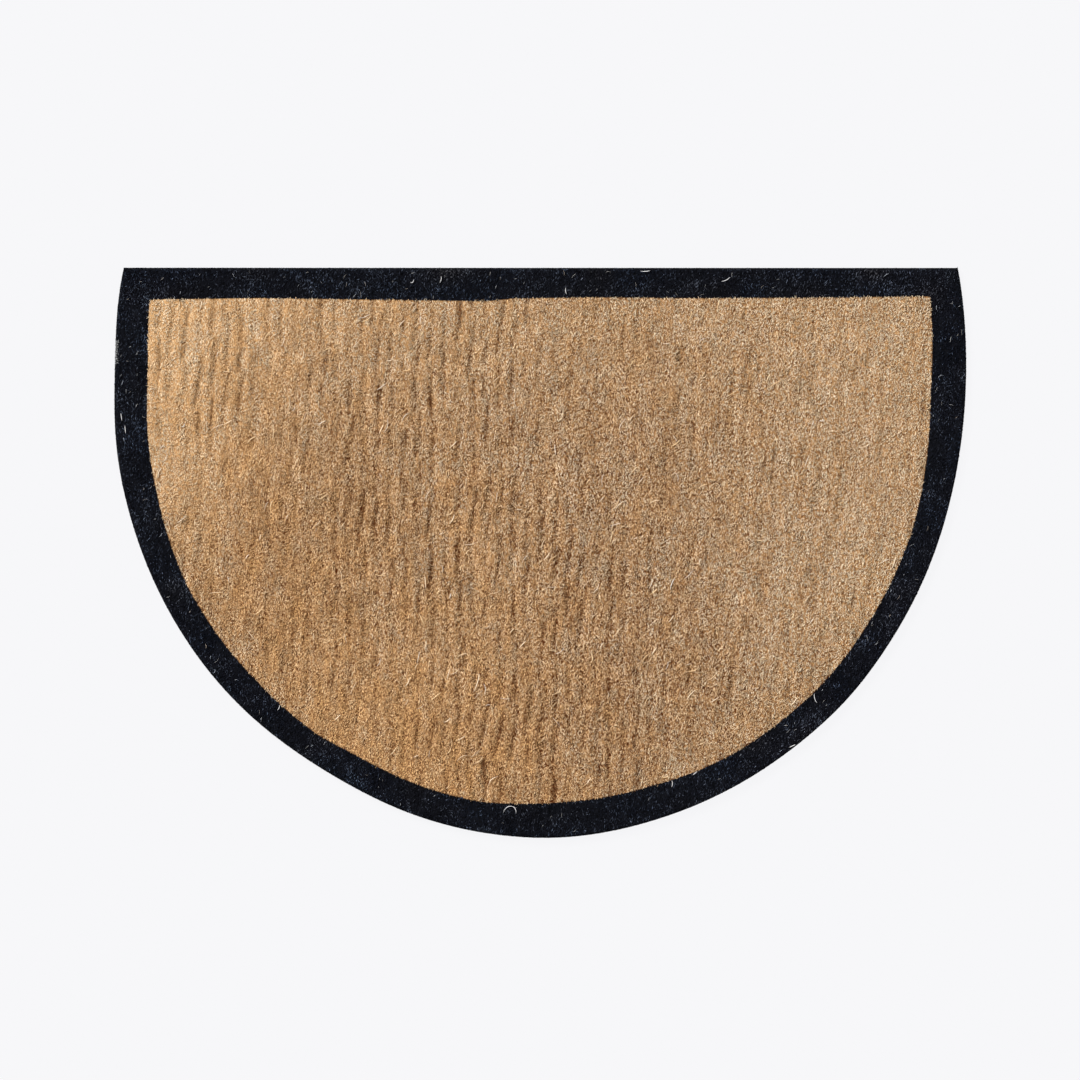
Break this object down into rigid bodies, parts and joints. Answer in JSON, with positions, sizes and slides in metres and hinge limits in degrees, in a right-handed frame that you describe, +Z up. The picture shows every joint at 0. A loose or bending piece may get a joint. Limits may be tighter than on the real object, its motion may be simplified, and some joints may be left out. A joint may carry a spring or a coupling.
{
  "type": "half round doormat",
  "caption": "Flat half round coir doormat with ribbed brush pile, one straight edge and a dark dyed rim.",
  "frame": {"origin": "on the ground, under the centre of the mat's bounding box", "axes": "+X along the straight edge, +Y from the bow towards the straight edge, +Z up out of the pile"},
  "size_m": [0.8998, 0.601, 0.017],
  "materials": {
    "coir": "upright coconut fibre, dry and matt, tan, with a black dyed rim about 35 mm wide"
  },
  "bodies": {
    "root": {"mat": "coir"}
  },
  "joints": []
}
